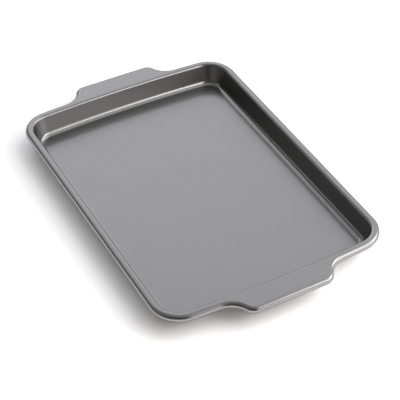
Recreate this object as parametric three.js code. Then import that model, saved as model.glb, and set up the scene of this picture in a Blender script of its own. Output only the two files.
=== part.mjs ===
// A cookie sheet: a shallow baking pan drawn from one steel sheet, with a flat rim that widens
// into a handle at each end. The rim's outer edge is curled round a stiffening wire that follows
// the whole outline.
// Millimetres, +Z up. The origin is under the middle of the pan, on the surface that it stands on.
// X runs across the pan and Y along it, with a handle at each end of Y.
import * as THREE from "three";

// Driving dimensions
const sheetThickness = 0.7;
const panHeight = 23.4; // underside of the floor to the top of the rim
const mouthWidth = 237; // across the mouth, between the two long walls
const mouthLength = 336.8; // along the mouth, at the crowns of the bowed ends
const mouthCornerRadius = 23.5;
const endBowRadius = 1590; // the short ends bow outwards a little
const wallSplay = 6.6; // how far the walls lean out between the floor and the mouth
const floorFilletRadius = 6; // inside, where the floor turns up into the wall
const mouthFoldRadius = 2.3; // underneath, where the wall turns out into the rim
const curlStandOff = 0.3; // mouth to the near side of the curl
const handleReach = 18.5; // how far a handle stands out beyond the rim
const handleRootSpan = 136; // width of a handle where it grows out of the rim
const handleRootRadius = 22; // hollow curve at the root
const handleCornerRadius = 12; // round corner at the tip
const wireDiameter = 6.2;
const wireClearance = 0.3; // all round the wire, inside the curl
const wireJointGap = 1.2; // between the two ends of the wire, which meet on a long side
const curlWrap = THREE.MathUtils.degToRad(290); // how far the sheet goes round the wire

// Facets: how many steps each stretch of the outline and of the section is drawn with
const outlineSteps = { longSide: 2, corner: 8, flank: 2, root: 6, handleCorner: 5, handleTip: 2 };
const sectionSteps = { fillet: 4, fold: 3, curlOver: 8, curlUnder: 4, wire: 10 };

// Sizes that follow from those above
const curlRadius = wireDiameter / 2 + wireClearance + sheetThickness;
const rimWidth = curlStandOff + 2 * curlRadius; // mouth to the outside of the curl
const rimHalfWidth = mouthWidth / 2 + rimWidth;
const rimHalfLength = mouthLength / 2 + rimWidth;
const rimCornerRadius = mouthCornerRadius + rimWidth;
const rimBowRadius = endBowRadius + rimWidth;
const foldTopRadius = mouthFoldRadius + sheetThickness;
const wallLean = Math.atan2(wallSplay, panHeight - sheetThickness);
const wallTurn = Math.PI / 2 - wallLean; // the angle that the sheet turns through in each bend

// Evenly stepped values that end at the second one and leave the first one out
const onward = (from, to, count) =>
  Array.from({ length: count }, (_, i) => from + ((to - from) * (i + 1)) / count);
const direction = (angle) => new THREE.Vector2(Math.cos(angle), Math.sin(angle));
const onArc = (centre, radius, angle) => direction(angle).multiplyScalar(radius).add(centre);

// Stations along a quarter of the outline, from the middle of a long side to the middle of a handle.
// Each station pairs a point of the mouth with a point of the rim's outside, and holds the way
// that is outwards at each of the two.
function quarterStations() {
  const bowCentre = new THREE.Vector2(0, rimHalfLength - rimBowRadius);
  const cornerX = rimHalfWidth - rimCornerRadius;
  const cornerRise = Math.sqrt((rimBowRadius - rimCornerRadius) ** 2 - cornerX ** 2);
  const cornerCentre = new THREE.Vector2(cornerX, bowCentre.y + cornerRise);
  const cornerEnd = Math.atan2(cornerRise, cornerX);
  const bowAngle = (x) => Math.acos(x / rimBowRadius);

  // The handle's edge is a hollow root tangent to the bowed rim, a round corner and a straight tip
  const rootAngle = bowAngle(handleRootSpan / 2);
  const rootCentre = onArc(bowCentre, rimBowRadius + handleRootRadius, rootAngle);
  const tipY = rimHalfLength + handleReach;
  const bothRadii = handleRootRadius + handleCornerRadius;
  const turnAngle = Math.asin((rootCentre.y - tipY + handleCornerRadius) / bothRadii);
  const tipCornerX = rootCentre.x - bothRadii * Math.cos(turnAngle);
  const tipCornerCentre = new THREE.Vector2(tipCornerX, tipY - handleCornerRadius);

  const besideLong = (y) => ({
    mouth: new THREE.Vector2(mouthWidth / 2, y),
    mouthOut: direction(0),
    rim: new THREE.Vector2(rimHalfWidth, y),
    rimOut: direction(0),
  });
  const roundCorner = (angle) => ({
    mouth: onArc(cornerCentre, mouthCornerRadius, angle),
    mouthOut: direction(angle),
    rim: onArc(cornerCentre, rimCornerRadius, angle),
    rimOut: direction(angle),
  });
  const besideEnd = (rim, angle) => ({
    mouth: onArc(bowCentre, endBowRadius, bowAngle(rim.x)),
    mouthOut: direction(bowAngle(rim.x)),
    rim,
    rimOut: direction(angle),
  });
  const alongArc = (centre, radius, from, to, count) =>
    onward(from, to, count).map((angle) => besideEnd(onArc(centre, radius, angle), angle));
  return [
    besideLong(0),
    ...onward(0, cornerCentre.y, outlineSteps.longSide).map(besideLong),
    ...onward(0, cornerEnd, outlineSteps.corner).map(roundCorner),
    ...alongArc(bowCentre, rimBowRadius, cornerEnd, rootAngle, outlineSteps.flank),
    ...alongArc(rootCentre, -handleRootRadius, rootAngle, turnAngle, outlineSteps.root),
    ...alongArc(tipCornerCentre, handleCornerRadius, turnAngle, Math.PI / 2, outlineSteps.handleCorner),
    ...onward(tipCornerX, 0, outlineSteps.handleTip).map((x) =>
      besideEnd(new THREE.Vector2(x, tipY), Math.PI / 2),
    ),
  ];
}

// The whole outline, anticlockwise from the middle of the +X long side, with all quarters alike
function outlineStations() {
  const mirrored = (station, sx, sy) =>
    Object.fromEntries(
      Object.entries(station).map(([key, v]) => [key, new THREE.Vector2(v.x * sx, v.y * sy)]),
    );
  const quarter = quarterStations();
  const nextQuarter = quarter.slice(1).reverse();
  const half = [...quarter.slice(0, -1), ...nextQuarter.map((s) => mirrored(s, -1, 1))];
  return [...half, ...half.map((s) => mirrored(s, -1, -1))];
}

// A point out from a station's mouth or rim, at a height
function standOut(from, outwards, distance, z) {
  const place = from.clone().addScaledVector(outwards, distance);
  return new THREE.Vector3(place.x, place.y, z);
}

// A closed solid through a row of closed rings of points, with a fan of triangles over each end
function loftSolid(rings) {
  const count = rings[0].length;
  const middle = (ring) =>
    ring.reduce((sum, p) => sum.add(p), new THREE.Vector3()).divideScalar(count);
  const points = [...rings.flat(), middle(rings[0]), middle(rings.at(-1))];
  const lastRing = (rings.length - 1) * count;
  const [firstMiddle, lastMiddle] = [points.length - 2, points.length - 1];
  const triangles = [];
  for (let i = 0; i < count; i++) {
    const next = (i + 1) % count;
    for (let start = 0; start < lastRing; start += count) {
      const [a, b] = [start + i, start + next];
      triangles.push(a, a + count, b + count);
      triangles.push(a, b + count, b);
    }
    triangles.push(firstMiddle, i, next);
    triangles.push(lastMiddle, lastRing + next, lastRing + i);
  }
  return new THREE.BufferGeometry().setFromPoints(points).setIndex(triangles);
}

// One face of the sheet as rings round the pan, from the edge of its floor to the cut edge in the
// curl. Depth is 0 for the sheet's upper face and the sheet's thickness for its lower one.
function sheetFace(stations, depth) {
  const bendReach = Math.tan(wallTurn / 2);
  const filletOut = -wallSplay - floorFilletRadius * bendReach;
  const filletZ = sheetThickness + floorFilletRadius;
  const foldOut = foldTopRadius * bendReach;
  const foldZ = panHeight - foldTopRadius;
  const curlZ = panHeight - curlRadius;

  const roundMouth = (out, z) => stations.map((s) => standOut(s.mouth, s.mouthOut, out, z));
  const roundRim = (out, z) => stations.map((s) => standOut(s.rim, s.rimOut, out, z));
  const fillet = [0, ...onward(0, wallTurn, sectionSteps.fillet)].map((turn) => {
    const radius = floorFilletRadius + depth;
    return roundMouth(filletOut + radius * Math.sin(turn), filletZ - radius * Math.cos(turn));
  });
  const fold = [wallTurn, ...onward(wallTurn, 0, sectionSteps.fold)].map((turn) => {
    const radius = foldTopRadius - depth;
    return roundMouth(foldOut - radius * Math.sin(turn), foldZ + radius * Math.cos(turn));
  });
  const curlTurns = [
    0,
    ...onward(0, Math.PI, sectionSteps.curlOver),
    ...onward(Math.PI, curlWrap, sectionSteps.curlUnder),
  ];
  const curl = curlTurns.map((turn) => {
    const radius = curlRadius - depth;
    return roundRim(radius * Math.sin(turn) - curlRadius, curlZ + radius * Math.cos(turn));
  });
  return [...fillet, ...fold, ...curl];
}

// The pan: floor, walls, rim, handles and curl are all one drawn and curled sheet
function panShell(stations) {
  const upper = sheetFace(stations, 0);
  const lower = sheetFace(stations, sheetThickness);
  return loftSolid([...upper, ...lower.reverse()]);
}

// The stiffening wire: one length bent to the outline, whose ends face each other across a small gap
function rimWire(stations) {
  const radius = wireDiameter / 2;
  const ring = (rim, rimOut) =>
    Array.from({ length: sectionSteps.wire }, (_, i) => {
      const angle = (2 * Math.PI * i) / sectionSteps.wire;
      const out = radius * Math.cos(angle) - curlRadius;
      return standOut(rim, rimOut, out, panHeight - curlRadius + radius * Math.sin(angle));
    });
  const [joint, ...others] = stations;
  const end = (side) => ring(new THREE.Vector2(joint.rim.x, (side * wireJointGap) / 2), joint.rimOut);
  return loftSolid([end(1), ...others.map((s) => ring(s.rim, s.rimOut)), end(-1)]);
}

function piece(name, geometry, material) {
  geometry.computeVertexNormals();
  const mesh = new THREE.Mesh(geometry, material);
  mesh.name = name;
  return mesh;
}

const coatedSteel = new THREE.MeshStandardMaterial({
  color: 0x98979b,
  roughness: 0.35,
  metalness: 0.9,
});
const drawnSteel = new THREE.MeshStandardMaterial({
  color: 0xb4b4b2,
  roughness: 0.4,
  metalness: 1,
});

const outline = outlineStations();
const cookieSheet = new THREE.Group();
cookieSheet.add(piece("pan_shell", panShell(outline), coatedSteel));
cookieSheet.add(piece("rim_wire", rimWire(outline), drawnSteel));

export default cookieSheet;
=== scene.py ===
from math import acos, asin, atan2, cos, pi, radians, sin, sqrt, tan

import bpy
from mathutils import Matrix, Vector


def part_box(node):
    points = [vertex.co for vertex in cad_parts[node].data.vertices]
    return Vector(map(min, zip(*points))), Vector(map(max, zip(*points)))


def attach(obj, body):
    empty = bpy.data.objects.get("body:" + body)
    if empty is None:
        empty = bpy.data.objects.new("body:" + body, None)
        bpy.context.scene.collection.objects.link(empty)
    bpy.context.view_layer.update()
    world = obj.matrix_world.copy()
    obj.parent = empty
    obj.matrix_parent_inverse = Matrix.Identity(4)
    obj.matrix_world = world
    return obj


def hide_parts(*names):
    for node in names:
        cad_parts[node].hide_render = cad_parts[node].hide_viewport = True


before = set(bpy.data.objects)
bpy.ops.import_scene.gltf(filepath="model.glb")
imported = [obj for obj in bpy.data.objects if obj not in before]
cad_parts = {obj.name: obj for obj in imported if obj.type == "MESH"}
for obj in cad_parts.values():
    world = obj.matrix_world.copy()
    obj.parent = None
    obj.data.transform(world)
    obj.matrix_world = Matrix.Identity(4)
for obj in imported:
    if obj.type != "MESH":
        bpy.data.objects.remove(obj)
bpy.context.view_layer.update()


# The pan: floor, walls, rim and both handles, drawn in one piece from a steel sheet.
# The rim's edge is rolled over and under into a round curl. A silver-grey non-stick coating
# is sprayed on and baked over both faces.
MM = 0.001
SHEET = 0.7 * MM
END_BOW_RADIUS = 1590 * MM
MOUTH_CORNER_RADIUS = 23.5 * MM
WALL_SPLAY = 6.6 * MM
FLOOR_FILLET_RADIUS = 6 * MM
MOUTH_FOLD_RADIUS = 3 * MM
CURL_RADIUS = 4.1 * MM
CURL_STAND_OFF = 0.3 * MM
CURL_WRAP = radians(290)
HANDLE_REACH = 18.5 * MM
HANDLE_ROOT_SPAN = 136 * MM
HANDLE_ROOT_RADIUS = 22 * MM
HANDLE_CORNER_RADIUS = 12 * MM
OUTLINE_STEPS = {"side": 10, "corner": 28, "flank": 8, "root": 18, "handle_corner": 16, "tip": 8}
SECTION_STEPS = {"fillet": 12, "fold": 9, "curl": 34}

_, pan_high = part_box("pan_shell")
rim_half_width = pan_high.x
rim_half_length = pan_high.y - HANDLE_REACH
rim_width = CURL_STAND_OFF + 2 * CURL_RADIUS


def onward(start, end, count):
    """Even steps that reach the end and leave the start out."""
    return [start + (end - start) * (i + 1) / count for i in range(count)]


def on_arc(centre, radius, angle):
    return centre + radius * Vector((cos(angle), sin(angle)))


def quarter_outline():
    """Stations from the middle of a long side to the middle of a handle: a point of the mouth, the way
    outwards there, a point of the rim's outside, and the way outwards there."""
    rim_bow = END_BOW_RADIUS + rim_width
    rim_corner = MOUTH_CORNER_RADIUS + rim_width
    bow_centre = Vector((0, rim_half_length - rim_bow))
    corner_x = rim_half_width - rim_corner
    corner_rise = sqrt((rim_bow - rim_corner) ** 2 - corner_x**2)
    corner_centre = Vector((corner_x, bow_centre.y + corner_rise))
    corner_end = atan2(corner_rise, corner_x)
    root_angle = acos(HANDLE_ROOT_SPAN / 2 / rim_bow)
    root_centre = on_arc(bow_centre, rim_bow + HANDLE_ROOT_RADIUS, root_angle)
    both_radii = HANDLE_ROOT_RADIUS + HANDLE_CORNER_RADIUS
    tip_corner_y = pan_high.y - HANDLE_CORNER_RADIUS
    turn_angle = asin((root_centre.y - tip_corner_y) / both_radii)
    tip_corner = Vector((root_centre.x - both_radii * cos(turn_angle), tip_corner_y))

    def beside_side(y):
        out = Vector((1, 0))
        rim = Vector((rim_half_width, y))
        return rim - rim_width * out, out, rim, out

    def round_corner(angle):
        out = on_arc(Vector((0, 0)), 1, angle)
        rim = corner_centre + rim_corner * out
        return rim - rim_width * out, out, rim, out

    def beside_end(rim, angle):
        bow_angle = acos(rim.x / rim_bow)
        mouth = on_arc(bow_centre, END_BOW_RADIUS, bow_angle)
        return mouth, on_arc(Vector((0, 0)), 1, bow_angle), rim, on_arc(Vector((0, 0)), 1, angle)

    steps = OUTLINE_STEPS
    stations = [beside_side(y) for y in [0, *onward(0, corner_centre.y, steps["side"])]]
    stations += [round_corner(angle) for angle in onward(0, corner_end, steps["corner"])]
    for centre, radius, start, end, count in (
        (bow_centre, rim_bow, corner_end, root_angle, steps["flank"]),
        (root_centre, -HANDLE_ROOT_RADIUS, root_angle, turn_angle, steps["root"]),
        (tip_corner, HANDLE_CORNER_RADIUS, turn_angle, pi / 2, steps["handle_corner"]),
    ):
        angles = onward(start, end, count)
        stations += [beside_end(on_arc(centre, radius, angle), angle) for angle in angles]
    tip_xs = onward(tip_corner.x, 0, steps["tip"])
    return stations + [beside_end(Vector((x, pan_high.y)), pi / 2) for x in tip_xs]


def mirrored(stations, sign_x, sign_y):
    return [tuple(Vector((v.x * sign_x, v.y * sign_y)) for v in station) for station in stations]


quarter = quarter_outline()
half = quarter[:-1] + mirrored(quarter[:0:-1], -1, 1)
outline = half + mirrored(half, -1, -1)

outline_mesh = bpy.data.meshes.new("pan outline")
outline_mesh.from_pydata([(*mouth, 0) for mouth, _, _, _ in outline], [], [])
for field, field_name in ((1, "mouth_out"), (2, "rim"), (3, "rim_out")):
    stored = outline_mesh.attributes.new(field_name, "FLOAT_VECTOR", "POINT").data
    for item, station in zip(stored, outline):
        item.vector = (*station[field], 0)


def linear(hex_colour):
    """An sRGB hex colour as linear RGBA."""
    shares = [int(hex_colour[i : i + 2], 16) / 255 for i in (1, 3, 5)]
    return (*[s / 12.92 if s <= 0.04045 else ((s + 0.055) / 1.055) ** 2.4 for s in shares], 1)


def add(tree, kind, sockets=None, **settings):
    """Adds a node, with values or links for its input sockets."""
    node = tree.nodes.new(kind)
    for name, value in settings.items():
        setattr(node, name, value)
    for key, value in (sockets or {}).items():
        if isinstance(value, bpy.types.NodeSocket):
            tree.links.new(value, node.inputs[key])
        else:
            node.inputs[key].default_value = value
    return node


# Aluminium flake in a grey resin, sprayed on as a thin film and baked: a satin silver-grey whose soft
# reflections lie under a clearer skin. The film has a slight orange peel, a few nibs and faint clouds, and
# is thinner, smoother and lighter on the bends. The nibs are also painted lighter, as small painted glints.
# Flake, peel and nibs are finer in truth, and drawn to show.
FILM_DARK = "#80807f"
FILM_LIGHT = "#878788"
THIN_FILM_AND_NIB_GLINT = "#9c9b9b"
EDGE_TINT = "#9a9a9a"
FLAT_ROUGHNESS_LOW = 0.32
FLAT_ROUGHNESS_HIGH = 0.36
BEND_ROUGHNESS = 0.2
SKIN_WEIGHT = 0.8
SKIN_ROUGHNESS = 0.1
FLAKE_SIZE = 1.2 * MM
PEEL_SIZE = 1.6 * MM
CLOUD_SIZE = 40 * MM
CLOUD_LOW = 0.3  # most of a noise's values lie between these two
CLOUD_HIGH = 0.7
THIN_PATCH_SIZE = 6 * MM
NIB_SPACING = 11 * MM
NIB_RADIUS = 1.1 * MM
PEEL_HEIGHT = 0.003 * MM
NIB_HEIGHT = 0.05 * MM

coating = bpy.data.materials.new("baked silver non-stick coating")
coating.use_nodes = True
film = coating.node_tree
film.nodes.clear()
on_pan = add(film, "ShaderNodeTexCoord").outputs["Object"]
flakes = add(film, "ShaderNodeTexVoronoi", {"Vector": on_pan, "Scale": 1 / FLAKE_SIZE})
flake = add(film, "ShaderNodeSeparateColor", {0: flakes.outputs["Color"]}).outputs[0]
cloud = add(
    film, "ShaderNodeTexNoise", {"Vector": on_pan, "Scale": 1 / CLOUD_SIZE, "Detail": 3.0}
).outputs["Fac"]
flake_and_cloud = add(film, "ShaderNodeMath", {0: flake, 1: cloud}, operation="ADD").outputs[0]
tone = add(film, "ShaderNodeMath", {0: flake_and_cloud, 1: 0.5}, operation="MULTIPLY").outputs[0]
full_film = add(
    film, "ShaderNodeMix", {0: tone, 6: linear(FILM_DARK), 7: linear(FILM_LIGHT)}, data_type="RGBA"
).outputs[2]
patchy = add(
    film, "ShaderNodeTexNoise", {"Vector": on_pan, "Scale": 1 / THIN_PATCH_SIZE, "Detail": 4.0}
).outputs["Fac"]
tight_bend = add(film, "ShaderNodeAttribute", attribute_name="tight_bend").outputs["Fac"]
thinned = add(film, "ShaderNodeMath", {0: tight_bend, 1: patchy}, operation="MULTIPLY").outputs[0]
nibs = add(film, "ShaderNodeTexVoronoi", {"Vector": on_pan, "Scale": 1 / NIB_SPACING})
nib = add(
    film,
    "ShaderNodeMapRange",
    {
        "Value": nibs.outputs["Distance"],
        "From Min": 0.0,
        "From Max": NIB_RADIUS / NIB_SPACING,
        "To Min": 1.0,
        "To Max": 0.0,
    },
    interpolation_type="SMOOTHSTEP",
).outputs["Result"]
# Lighter where the film is thin on the bends, and painted lighter on the nibs as small painted glints.
lightened = add(film, "ShaderNodeMath", {0: thinned, 1: nib}, operation="MAXIMUM").outputs[0]
film_colour = add(
    film, "ShaderNodeMix", {0: lightened, 6: full_film, 7: linear(THIN_FILM_AND_NIB_GLINT)}, data_type="RGBA"
).outputs[2]
flat_roughness = add(
    film,
    "ShaderNodeMapRange",
    {
        "Value": cloud,
        "From Min": CLOUD_LOW,
        "From Max": CLOUD_HIGH,
        "To Min": FLAT_ROUGHNESS_LOW,
        "To Max": FLAT_ROUGHNESS_HIGH,
    },
).outputs["Result"]
roughness = add(
    film, "ShaderNodeMix", {0: tight_bend, 2: flat_roughness, 3: BEND_ROUGHNESS}
).outputs[0]
peel = add(
    film, "ShaderNodeTexNoise", {"Vector": on_pan, "Scale": 1 / PEEL_SIZE, "Detail": 1.0}
).outputs["Fac"]
relief = add(
    film, "ShaderNodeMath", {0: nib, 1: NIB_HEIGHT / PEEL_HEIGHT, 2: peel}, operation="MULTIPLY_ADD"
).outputs[0]
uneven = add(film, "ShaderNodeBump", {"Height": relief, "Distance": PEEL_HEIGHT}).outputs["Normal"]
sprayed = add(
    film,
    "ShaderNodeBsdfPrincipled",
    {
        "Base Color": film_colour,
        "Metallic": 1.0,
        "Roughness": roughness,
        "Normal": uneven,
        "Specular Tint": linear(EDGE_TINT),
        "Coat Weight": SKIN_WEIGHT,
        "Coat Roughness": SKIN_ROUGHNESS,
        "Coat Normal": uneven,
    },
).outputs["BSDF"]
add(film, "ShaderNodeOutputMaterial", {"Surface": sprayed})


# Rings of the section, counted from the pole in the middle of the floor
HALF_RING = 0.5  # ring numbers are told apart half-way between two rings
SEAM_DISTANCE = 0.001 * MM
first_fillet = 1
first_fold = first_fillet + SECTION_STEPS["fillet"] + 1
first_curl = first_fold + SECTION_STEPS["fold"] + 1
face_rings = first_curl + SECTION_STEPS["curl"] + 1

wall_turn = pi / 2 - atan2(WALL_SPLAY, pan_high.z - SHEET)
bend_reach = tan(wall_turn / 2)
bends = {
    "Fillet": {
        "Centre": (-WALL_SPLAY - FLOOR_FILLET_RADIUS * bend_reach, 0, SHEET + FLOOR_FILLET_RADIUS),
        "Radius": FLOOR_FILLET_RADIUS,
        "Start": -pi / 2,
        "Sweep": wall_turn,
    },
    "Fold": {
        "Centre": (MOUTH_FOLD_RADIUS * bend_reach, 0, pan_high.z - MOUTH_FOLD_RADIUS),
        "Radius": MOUTH_FOLD_RADIUS,
        "Start": pi / 2 + wall_turn,
        "Sweep": -wall_turn,
    },
    "Curl": {
        "Centre": (-CURL_RADIUS, 0, pan_high.z - CURL_RADIUS),
        "Radius": CURL_RADIUS,
        "Start": pi / 2,
        "Sweep": -CURL_WRAP,
    },
}

pressing = bpy.data.node_groups.new("pressed and curled sheet", "GeometryNodeTree")
pressing.interface.new_socket("Geometry", in_out="OUTPUT", socket_type="NodeSocketGeometry")
pressing.interface.new_socket("Outline", in_out="INPUT", socket_type="NodeSocketGeometry")
pan_sizes = {"Sheet thickness": SHEET}
for bend_name, facts in bends.items():
    pan_sizes.update({f"{bend_name} {fact.lower()}": value for fact, value in facts.items()})
pan_inputs = {}
for size_name, size in pan_sizes.items():
    size_kind = "NodeSocketVector" if isinstance(size, tuple) else "NodeSocketFloat"
    size_socket = pressing.interface.new_socket(size_name, in_out="INPUT", socket_type=size_kind)
    pan_inputs[size_socket.identifier] = size
given = add(pressing, "NodeGroupInput").outputs
station_count = add(
    pressing, "GeometryNodeAttributeDomainSize", {"Geometry": given["Outline"]}, component="MESH"
).outputs["Point Count"]
columns = add(pressing, "ShaderNodeMath", {0: station_count, 1: 1.0}, operation="ADD").outputs[0]
grid = add(
    pressing,
    "GeometryNodeMeshGrid",
    {"Vertices X": 2 * face_rings, "Vertices Y": columns},
).outputs["Mesh"]
index = add(pressing, "GeometryNodeInputIndex").outputs[0]
rows_before = add(pressing, "ShaderNodeMath", {0: index, 1: columns}, operation="DIVIDE").outputs[0]
row = add(pressing, "ShaderNodeMath", {0: rows_before}, operation="FLOOR").outputs[0]
column = add(pressing, "ShaderNodeMath", {0: index, 1: columns}, operation="MODULO").outputs[0]
station_index = add(
    pressing, "ShaderNodeMath", {0: column, 1: station_count}, operation="MODULO"
).outputs[0]
is_under = add(
    pressing, "ShaderNodeMath", {0: row, 1: face_rings - HALF_RING}, operation="GREATER_THAN"
).outputs[0]
mirror_row = add(
    pressing, "ShaderNodeMath", {0: 2.0 * face_rings - 1, 1: row}, operation="SUBTRACT"
).outputs[0]
ring = add(pressing, "ShaderNodeMath", {0: row, 1: mirror_row}, operation="MINIMUM").outputs[0]
depth = add(
    pressing, "ShaderNodeMath", {0: is_under, 1: given["Sheet thickness"]}, operation="MULTIPLY"
).outputs[0]


def bend_point(bend, first_ring, depth_sign):
    """The section's point on a bend, for the rings that start at first_ring."""
    turn = add(
        pressing,
        "ShaderNodeMapRange",
        {
            "Value": ring,
            "From Min": first_ring,
            "From Max": first_ring + SECTION_STEPS[bend.lower()],
            "To Min": 0.0,
            "To Max": given[f"{bend} sweep"],
        },
    ).outputs["Result"]
    angle = add(
        pressing, "ShaderNodeMath", {0: given[f"{bend} start"], 1: turn}, operation="ADD"
    ).outputs[0]
    radius = add(
        pressing,
        "ShaderNodeMath",
        {0: depth, 1: depth_sign, 2: given[f"{bend} radius"]},
        operation="MULTIPLY_ADD",
    ).outputs[0]
    across = add(pressing, "ShaderNodeMath", {0: angle}, operation="COSINE").outputs[0]
    up = add(pressing, "ShaderNodeMath", {0: angle}, operation="SINE").outputs[0]
    spoke = add(pressing, "ShaderNodeCombineXYZ", {"X": across, "Z": up}).outputs[0]
    return add(
        pressing,
        "ShaderNodeVectorMath",
        {0: spoke, 1: radius, 2: given[f"{bend} centre"]},
        operation="MULTIPLY_ADD",
    ).outputs[0]


def choose(first_ring, before, after):
    """One vector for the rings before first_ring and another from there on."""
    later = add(
        pressing, "ShaderNodeMath", {0: ring, 1: first_ring - HALF_RING}, operation="GREATER_THAN"
    ).outputs[0]
    return add(
        pressing,
        "GeometryNodeSwitch",
        {"Switch": later, "False": before, "True": after},
        input_type="VECTOR",
    ).outputs[0]


def of_station(attribute):
    """A vector that the outline holds for the station of each column."""
    value = add(
        pressing, "GeometryNodeInputNamedAttribute", {"Name": attribute}, data_type="FLOAT_VECTOR"
    ).outputs["Attribute"]
    return add(
        pressing,
        "GeometryNodeSampleIndex",
        {"Geometry": given["Outline"], "Value": value, "Index": station_index},
        data_type="FLOAT_VECTOR",
        domain="POINT",
    ).outputs[0]


def on_rings(first_ring, count):
    """1 in the middle of a run of rings, and 0 at both ends of the run and beyond it."""
    middle = first_ring + count / 2
    offset = add(pressing, "ShaderNodeMath", {0: ring, 1: middle}, operation="SUBTRACT").outputs[0]
    distance = add(pressing, "ShaderNodeMath", {0: offset}, operation="ABSOLUTE").outputs[0]
    return add(
        pressing,
        "ShaderNodeMapRange",
        {"Value": distance, "From Min": 0.0, "From Max": count / 2, "To Min": 1.0, "To Max": 0.0},
        interpolation_type="SMOOTHSTEP",
    ).outputs["Result"]


fillet = bend_point("Fillet", first_fillet, 1.0)
fold = bend_point("Fold", first_fold, -1.0)
curl = bend_point("Curl", first_curl, -1.0)
section = choose(first_curl, choose(first_fold, fillet, fold), curl)
edge = choose(first_curl, of_station("position"), of_station("rim"))
outwards = choose(first_curl, of_station("mouth_out"), of_station("rim_out"))
section_parts = add(pressing, "ShaderNodeSeparateXYZ", {0: section}).outputs
from_edge = add(
    pressing, "ShaderNodeVectorMath", {0: outwards, "Scale": section_parts["X"]}, operation="SCALE"
).outputs[0]
off_pole = add(pressing, "ShaderNodeVectorMath", {0: edge, 1: from_edge}, operation="ADD").outputs[0]
plan = choose(first_fillet, (0.0, 0.0, 0.0), off_pole)
height = add(pressing, "ShaderNodeCombineXYZ", {"Z": section_parts["Z"]}).outputs[0]
place = add(pressing, "ShaderNodeVectorMath", {0: plan, 1: height}, operation="ADD").outputs[0]
on_fold = on_rings(first_fold, SECTION_STEPS["fold"])
on_curl = on_rings(first_curl, SECTION_STEPS["curl"] / 2)
on_fillet = on_rings(first_fillet, SECTION_STEPS["fillet"])
on_edge = add(pressing, "ShaderNodeMath", {0: on_fold, 1: on_curl}, operation="MAXIMUM").outputs[0]
on_bend = add(pressing, "ShaderNodeMath", {0: on_edge, 1: on_fillet}, operation="MAXIMUM").outputs[0]
on_upper_bend = add(
    pressing, "ShaderNodeMath", {0: on_bend, 1: is_under}, operation="SUBTRACT", use_clamp=True
).outputs[0]
marked = add(
    pressing,
    "GeometryNodeStoreNamedAttribute",
    {"Geometry": grid, "Name": "tight_bend", "Value": on_upper_bend},
    data_type="FLOAT",
    domain="POINT",
).outputs[0]
shaped = add(pressing, "GeometryNodeSetPosition", {"Geometry": marked, "Position": place}).outputs[0]
closed = add(
    pressing, "GeometryNodeMergeByDistance", {"Geometry": shaped, "Distance": SEAM_DISTANCE}
).outputs[0]
smooth = add(pressing, "GeometryNodeSetShadeSmooth", {"Geometry": closed}).outputs[0]
pressed = add(pressing, "GeometryNodeRealizeInstances", {"Geometry": smooth}).outputs[0]
coated = add(pressing, "GeometryNodeSetMaterial", {"Geometry": pressed, "Material": coating}).outputs[0]
add(pressing, "NodeGroupOutput", {"Geometry": coated})


def made_by(name, source, group, values, *finishing):
    """A plain mesh object made by a node tree from a source mesh or curve."""
    maker = bpy.data.objects.new(name + " maker", source)
    bpy.context.scene.collection.objects.link(maker)
    modifier = maker.modifiers.new("maker", "NODES")
    modifier.node_group = group
    for identifier, value in values.items():
        modifier[identifier] = value
    for kind in finishing:
        maker.modifiers.new(kind.lower(), kind)
    graph = bpy.context.evaluated_depsgraph_get()
    mesh = bpy.data.meshes.new_from_object(maker.evaluated_get(graph), depsgraph=graph)
    bpy.data.objects.remove(maker)
    piece = bpy.data.objects.new(name, mesh)
    bpy.context.scene.collection.objects.link(piece)
    return piece


pan = made_by("drawn_pan", outline_mesh, pressing, pan_inputs, "WEIGHTED_NORMAL")
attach(pan, "root")
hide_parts("pan_shell")


# The stiffening wire: plain drawn steel, bent to the outline and lying in the curl, which holds it.
# It is one length, and its two ends face each other on a long side.
WIRE_DIAMETER = 6.2 * MM
WIRE_JOINT_GAP = 1.2 * MM
WIRE_SIDES = 24

curl_line = [rim - CURL_RADIUS * rim_out for _, _, rim, rim_out in outline]
first_end, last_end = [Vector((curl_line[0].x, side * WIRE_JOINT_GAP / 2)) for side in (1, -1)]
wire_line = [first_end, *curl_line[1:], last_end]
wire_path = bpy.data.curves.new("wire path", "CURVE")
wire_path.dimensions = "3D"
spline = wire_path.splines.new("POLY")
spline.points.add(len(wire_line) - 1)
for point, line_point in zip(spline.points, wire_line):
    point.co = (*line_point, pan_high.z - CURL_RADIUS, 1)

# Bright drawn steel: the die leaves fine lines along the wire, which break up its highlight.
WIRE_BRIGHT = "#b9b9b7"
WIRE_DULL = "#a3a3a0"
WIRE_ROUGHNESS = 0.38
DIE_LINE_WIDTH = 0.3 * MM
DIE_LINE_LENGTH = 60 * MM
DIE_LINE_DEPTH = 0.004 * MM

steel = bpy.data.materials.new("drawn steel wire")
steel.use_nodes = True
metal = steel.node_tree
metal.nodes.clear()
wire_spoke = add(metal, "ShaderNodeAttribute", attribute_name="spoke").outputs["Vector"]
wire_along = add(metal, "ShaderNodeAttribute", attribute_name="along").outputs["Fac"]
lines_round = add(
    metal, "ShaderNodeVectorMath", {0: wire_spoke, "Scale": 1 / DIE_LINE_WIDTH}, operation="SCALE"
).outputs[0]
lengths = add(metal, "ShaderNodeMath", {0: wire_along, 1: DIE_LINE_LENGTH}, operation="DIVIDE").outputs[0]
lines_along = add(metal, "ShaderNodeCombineXYZ", {"Z": lengths}).outputs[0]
on_wire = add(metal, "ShaderNodeVectorMath", {0: lines_round, 1: lines_along}, operation="ADD").outputs[0]
lines = add(metal, "ShaderNodeTexNoise", {"Vector": on_wire, "Scale": 1.0, "Detail": 2.0}).outputs["Fac"]
wire_colour = add(
    metal, "ShaderNodeMix", {0: lines, 6: linear(WIRE_DULL), 7: linear(WIRE_BRIGHT)}, data_type="RGBA"
).outputs[2]
scored = add(metal, "ShaderNodeBump", {"Height": lines, "Distance": DIE_LINE_DEPTH}).outputs["Normal"]
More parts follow.
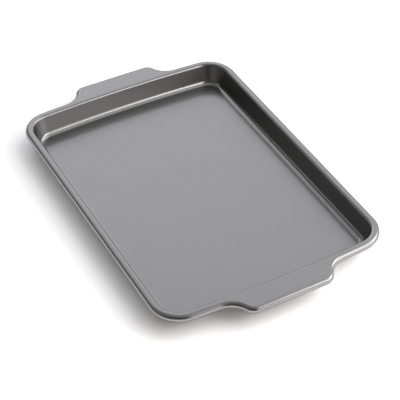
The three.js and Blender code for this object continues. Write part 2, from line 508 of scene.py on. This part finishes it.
drawn = add(
    metal,
    "ShaderNodeBsdfPrincipled",
    {"Base Color": wire_colour, "Metallic": 1.0, "Roughness": WIRE_ROUGHNESS, "Normal": scored},
).outputs["BSDF"]
add(metal, "ShaderNodeOutputMaterial", {"Surface": drawn})

drawing = bpy.data.node_groups.new("wire along a path", "GeometryNodeTree")
drawing.interface.new_socket("Geometry", in_out="OUTPUT", socket_type="NodeSocketGeometry")
drawing.interface.new_socket("Path", in_out="INPUT", socket_type="NodeSocketGeometry")
diameter = drawing.interface.new_socket(
    "Wire diameter", in_out="INPUT", socket_type="NodeSocketFloat"
).identifier
wire_given = add(drawing, "NodeGroupInput").outputs
wire_radius = add(
    drawing, "ShaderNodeMath", {0: wire_given["Wire diameter"], 1: 0.5}, operation="MULTIPLY"
).outputs[0]
circle = add(
    drawing, "GeometryNodeCurvePrimitiveCircle", {"Resolution": WIRE_SIDES, "Radius": wire_radius}
).outputs["Curve"]
circle_place = add(drawing, "GeometryNodeInputPosition").outputs[0]
profile = add(
    drawing,
    "GeometryNodeStoreNamedAttribute",
    {"Geometry": circle, "Name": "spoke", "Value": circle_place},
    data_type="FLOAT_VECTOR",
    domain="POINT",
).outputs[0]
path_length = add(drawing, "GeometryNodeSplineParameter").outputs["Length"]
path = add(
    drawing,
    "GeometryNodeStoreNamedAttribute",
    {"Geometry": wire_given["Path"], "Name": "along", "Value": path_length},
    data_type="FLOAT",
    domain="POINT",
).outputs[0]
upright = add(drawing, "GeometryNodeSetCurveNormal", {"Curve": path}, mode="Z_UP").outputs[0]
swept = add(
    drawing,
    "GeometryNodeCurveToMesh",
    {"Curve": upright, "Profile Curve": profile, "Fill Caps": True},
).outputs[0]
rounded = add(drawing, "GeometryNodeSetShadeSmooth", {"Geometry": swept}).outputs[0]
bent = add(drawing, "GeometryNodeRealizeInstances", {"Geometry": rounded}).outputs[0]
bare = add(drawing, "GeometryNodeSetMaterial", {"Geometry": bent, "Material": steel}).outputs[0]
add(drawing, "NodeGroupOutput", {"Geometry": bare})

wire = made_by("stiffening_wire", wire_path, drawing, {diameter: WIRE_DIAMETER})
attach(wire, "root")
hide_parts("rim_wire")


# The studio: a white table top in a dim room, with one soft box close by at the front right. The other
# lights are far off, so they are drawn in the world as oval patches with soft edges: in front, overhead, at
# the right and at the back, with faint small ones at the left, which put thin lines on the bends.
TABLE_HALF_SIZE = 12000 * MM
TABLE_GAP = 0.1 * MM
TABLE_WHITE = "#fafafa"
TABLE_SHOWN = 1.68  # above 1, because the light that falls on the table would leave its white grey
FRONT_TINT = "#fffaf8"
RIGHT_TINT = "#fffdfc"
BACK_TINT = "#f9f8ff"
PLAIN_TINT = "#ffffff"
BOX_AZIMUTH = radians(-40)
BOX_ELEVATION = radians(33)
BOX_DISTANCE = 700 * MM
BOX_WIDTH = 620 * MM
BOX_HEIGHT = 300 * MM
BOX_LEVEL = 2.9
ROOM_LEVEL = 0.11
ROOM_TINT = "#fffdf8"
SOFT_LIGHTS = (  # azimuth from the right, elevation, spread across and up in degrees, level and tint
    (-60, 40, 13, 10, 1.8, FRONT_TINT),
    (-66, 12, 20, 11, 1.6, FRONT_TINT),
    (-40, 9, 15, 6, 3.2, FRONT_TINT),
    (-20, 23, 14, 10, 2.4, FRONT_TINT),
    (-120, 86, 26, 26, 0.4, PLAIN_TINT),
    (2, 28, 14, 12, 2.8, RIGHT_TINT),
    (8, 53, 14, 11, 1.8, RIGHT_TINT),
    (-20, 62, 18, 12, 0.9, RIGHT_TINT),
    (62, 42, 28, 16, 1.24, BACK_TINT),
    (78, 28, 16, 12, 0.9, BACK_TINT),
    (50, 16, 38, 18, 1.1, BACK_TINT),
    (163, 42, 15, 15, 0.4, PLAIN_TINT),
    (111, 44, 9, 7, 1.1, PLAIN_TINT),
    (138, 5, 22, 6, 1.2, PLAIN_TINT),
)

scene = bpy.context.scene
scene.view_settings.view_transform = "Standard"

table_corners = [
    (x * TABLE_HALF_SIZE, y * TABLE_HALF_SIZE, -TABLE_GAP)
    for x, y in ((-1, -1), (1, -1), (1, 1), (-1, 1))
]
table_mesh = bpy.data.meshes.new("table top")
table_mesh.from_pydata(table_corners, [], [(0, 1, 2, 3)])
table = bpy.data.objects.new("table_top", table_mesh)
scene.collection.objects.link(table)

# Matt white paint: the table shows as white to the camera and in the pan's reflections, and keeps the shadow.
white = bpy.data.materials.new("white table top")
white.use_nodes = True
top = white.node_tree
top.nodes.clear()
rays = add(top, "ShaderNodeLightPath").outputs
seen = add(
    top, "ShaderNodeMath", {0: rays["Is Camera Ray"], 1: rays["Is Glossy Ray"]}, operation="MAXIMUM"
).outputs[0]
shown = add(
    top, "ShaderNodeMath", {0: seen, 1: rays["Is Transmission Ray"]}, operation="MAXIMUM"
).outputs[0]
paint = add(
    top,
    "ShaderNodeMix",
    {0: shown, 6: linear(TABLE_WHITE), 7: (TABLE_SHOWN, TABLE_SHOWN, TABLE_SHOWN, 1)},
    data_type="RGBA",
).outputs[2]
matt = add(top, "ShaderNodeBsdfDiffuse", {"Color": paint}).outputs[0]
add(top, "ShaderNodeOutputMaterial", {"Surface": matt})
table_mesh.materials.append(white)


def direction(azimuth, elevation):
    """The way out from the pan, with the azimuth counted anticlockwise from the right."""
    return Vector((cos(azimuth) * cos(elevation), sin(azimuth) * cos(elevation), sin(elevation)))


box_light = bpy.data.lights.new("soft box", "AREA")
box_light.shape = "RECTANGLE"
box_light.size = BOX_WIDTH
box_light.size_y = BOX_HEIGHT
box_light.energy = BOX_LEVEL * pi * BOX_WIDTH * BOX_HEIGHT
box_light.color = linear(FRONT_TINT)[:3]
box_away = direction(BOX_AZIMUTH, BOX_ELEVATION)
soft_box = bpy.data.objects.new("soft_box", box_light)
soft_box.location = BOX_DISTANCE * box_away
soft_box.rotation_mode = "QUATERNION"
soft_box.rotation_quaternion = box_away.to_track_quat("Z", "Y")
scene.collection.objects.link(soft_box)

world = bpy.data.worlds.new("studio")
scene.world = world
world.use_nodes = True
room = world.node_tree
room.nodes.clear()
towards = add(room, "ShaderNodeTexCoord").outputs["Generated"]
light = ROOM_LEVEL * Vector(linear(ROOM_TINT)[:3])
for azimuth, elevation, wide, tall, level, tint in SOFT_LIGHTS:
    on_patch = add(
        room,
        "ShaderNodeMapping",
        {
            "Vector": towards,
            "Location": direction(radians(azimuth), radians(elevation)),
            "Rotation": (0, radians(-elevation), radians(azimuth)),
            "Scale": (radians(max(wide, tall)), radians(wide), radians(tall)),
        },
        vector_type="TEXTURE",
    ).outputs[0]
    square = add(
        room, "ShaderNodeVectorMath", {0: on_patch, 1: on_patch}, operation="DOT_PRODUCT"
    ).outputs["Value"]
    fall = add(room, "ShaderNodeMath", {0: square, 1: -1.0}, operation="MULTIPLY").outputs[0]
    patch = add(room, "ShaderNodeMath", {0: fall}, operation="EXPONENT").outputs[0]
    glow = level * Vector(linear(tint)[:3])
    light = add(
        room, "ShaderNodeVectorMath", {0: patch, 1: glow, 2: light}, operation="MULTIPLY_ADD"
    ).outputs[0]
sky = add(room, "ShaderNodeBackground", {"Color": light, "Strength": 1.0}).outputs[0]
add(room, "ShaderNodeOutputWorld", {"Surface": sky})


# The camera stands above the front left corner and looks down along the pan through a long lens.
# It aims a little to one side of the pan's middle, which frames the pan.
VIEW_AZIMUTH = radians(-118.8)
VIEW_ELEVATION = radians(41.95)
VIEW_DISTANCE = 1378.4 * MM
AIM_RIGHT = 5.06 * MM
AIM_UP = -8.64 * MM
FOCAL_LENGTH = 118.28  # on Blender's 36 mm sensor

view_back = direction(VIEW_AZIMUTH, VIEW_ELEVATION)
view_right = Vector((0, 0, 1)).cross(view_back).normalized()
view_up = view_back.cross(view_right)
camera_data = bpy.data.cameras.new("camera")
camera_data.lens = FOCAL_LENGTH
camera = bpy.data.objects.new("camera", camera_data)
camera.location = AIM_RIGHT * view_right + AIM_UP * view_up + VIEW_DISTANCE * view_back
camera.rotation_mode = "QUATERNION"
camera.rotation_quaternion = view_back.to_track_quat("Z", "Y")
scene.collection.objects.link(camera)
scene.camera = camera
